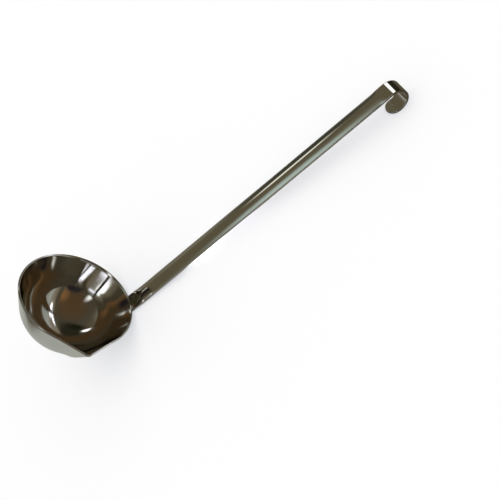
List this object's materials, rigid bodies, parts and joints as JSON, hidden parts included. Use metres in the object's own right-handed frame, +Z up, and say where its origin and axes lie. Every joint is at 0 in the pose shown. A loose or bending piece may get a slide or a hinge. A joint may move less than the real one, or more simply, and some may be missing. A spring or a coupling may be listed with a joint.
{
  "type": "soup ladle",
  "caption": "Polished steel soup ladle: a deep round bowl with a side pouring spout, and a long crowned strap handle that ends in a hanging hook.",
  "frame": {"origin": "on the table, under the middle of the ladle's bounding box", "axes": "+X along the table from the bowl to the hook, +Z up from the table, +Y to the side away from the spout; the ladle lies on its back as it does when it is put down"},
  "size_m": [0.3256, 0.0986, 0.087],
  "materials": {
    "bowl_steel": "mirror-polished stainless steel",
    "handle_steel": "mirror-polished stainless steel",
    "weld_steel": "as-welded stainless steel, inside the joint"
  },
  "bodies": {
    "root": {"bowl": "bowl_steel", "handle": "handle_steel", "spot_welds": "weld_steel"}
  },
  "joints": []
}
